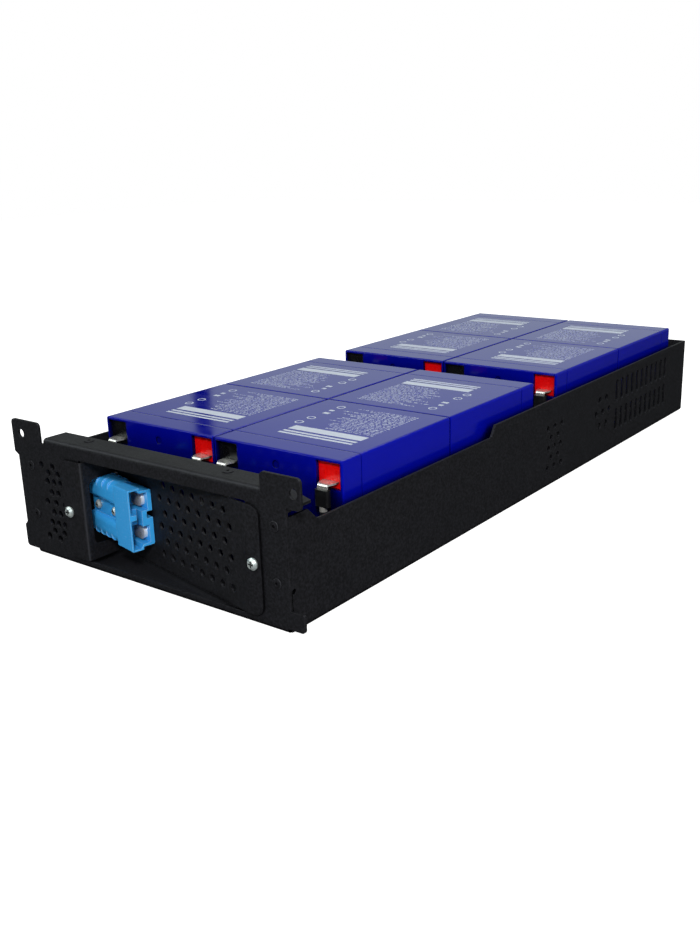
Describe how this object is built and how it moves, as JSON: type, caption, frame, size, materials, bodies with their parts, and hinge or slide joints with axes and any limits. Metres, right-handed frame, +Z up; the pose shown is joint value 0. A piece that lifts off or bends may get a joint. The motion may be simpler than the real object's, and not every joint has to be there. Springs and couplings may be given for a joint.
{
  "type": "ups battery cartridge",
  "caption": "Slide-in battery tray for a rack UPS: folded black tray of blue lead-acid blocks lying on their sides, recessed perforated panel with two-pole power connector.",
  "frame": {"origin": "middle of the tray's underside: half of its length and half of its width", "axes": "+X to the right seen from the front, +Y towards the rear wall, +Z up"},
  "size_m": [0.217, 0.5153, 0.0805],
  "materials": {
    "white_ink": "screen print on the battery cases",
    "black_powder_coat": "fine-textured powder coat",
    "blue_case": "glossy moulded case",
    "red_potting": "glossy resin",
    "black_potting": "glossy resin",
    "tinned_metal": "bright tin plate",
    "black_sleeve": "soft insulating sleeve",
    "connector_blue": "satin moulded plastic",
    "contact_silver": "silver plate",
    "zinc_screw": "zinc plate",
    "black_rivet": "powder coat",
    "lead_black": "flexible insulation",
    "lead_red": "flexible insulation"
  },
  "bodies": {
    "root": {"tray": "black_powder_coat", "connector_panel": "black_powder_coat", "connector_housing": "connector_blue", "contact_upper": "contact_silver", "contact_lower": "contact_silver", "connector_screws": "zinc_screw", "panel_screws": "zinc_screw", "plate_rivets": "black_rivet", "flange_rivets": "black_rivet", "terminal_sleeves": "black_sleeve", "terminal_crimps": "tinned_metal", "row_links": "lead_black", "middle_link": "lead_black", "front_side_lead": "lead_black", "rear_side_lead": "lead_black", "positive_lead": "lead_red", "negative_lead": "lead_black", "battery_case_1_left": "blue_case", "battery_lid_1_left": "blue_case", "positive_well_1_left": "red_potting", "negative_well_1_left": "black_potting", "battery_tabs_1_left": "tinned_metal", "battery_case_1_right": "blue_case", "battery_lid_1_right": "blue_case", "positive_well_1_right": "red_potting", "negative_well_1_right": "black_potting", "battery_tabs_1_right": "tinned_metal", "battery_case_2_left": "blue_case", "battery_lid_2_left": "blue_case", "positive_well_2_left": "red_potting", "negative_well_2_left": "black_potting", "battery_tabs_2_left": "tinned_metal", "battery_case_2_right": "blue_case", "battery_lid_2_right": "blue_case", "positive_well_2_right": "red_potting", "negative_well_2_right": "black_potting", "battery_tabs_2_right": "tinned_metal", "battery_case_3_left": "blue_case", "battery_lid_3_left": "blue_case", "positive_well_3_left": "red_potting", "negative_well_3_left": "black_potting", "battery_tabs_3_left": "tinned_metal", "battery_case_3_right": "blue_case", "battery_lid_3_right": "blue_case", "positive_well_3_right": "red_potting", "negative_well_3_right": "black_potting", "battery_tabs_3_right": "tinned_metal", "battery_case_4_left": "blue_case", "battery_lid_4_left": "blue_case", "positive_well_4_left": "red_potting", "negative_well_4_left": "black_potting", "battery_tabs_4_left": "tinned_metal", "battery_case_4_right": "blue_case", "battery_lid_4_right": "blue_case", "positive_well_4_right": "red_potting", "negative_well_4_right": "black_potting", "battery_tabs_4_right": "tinned_metal"}
  },
  "joints": []
}
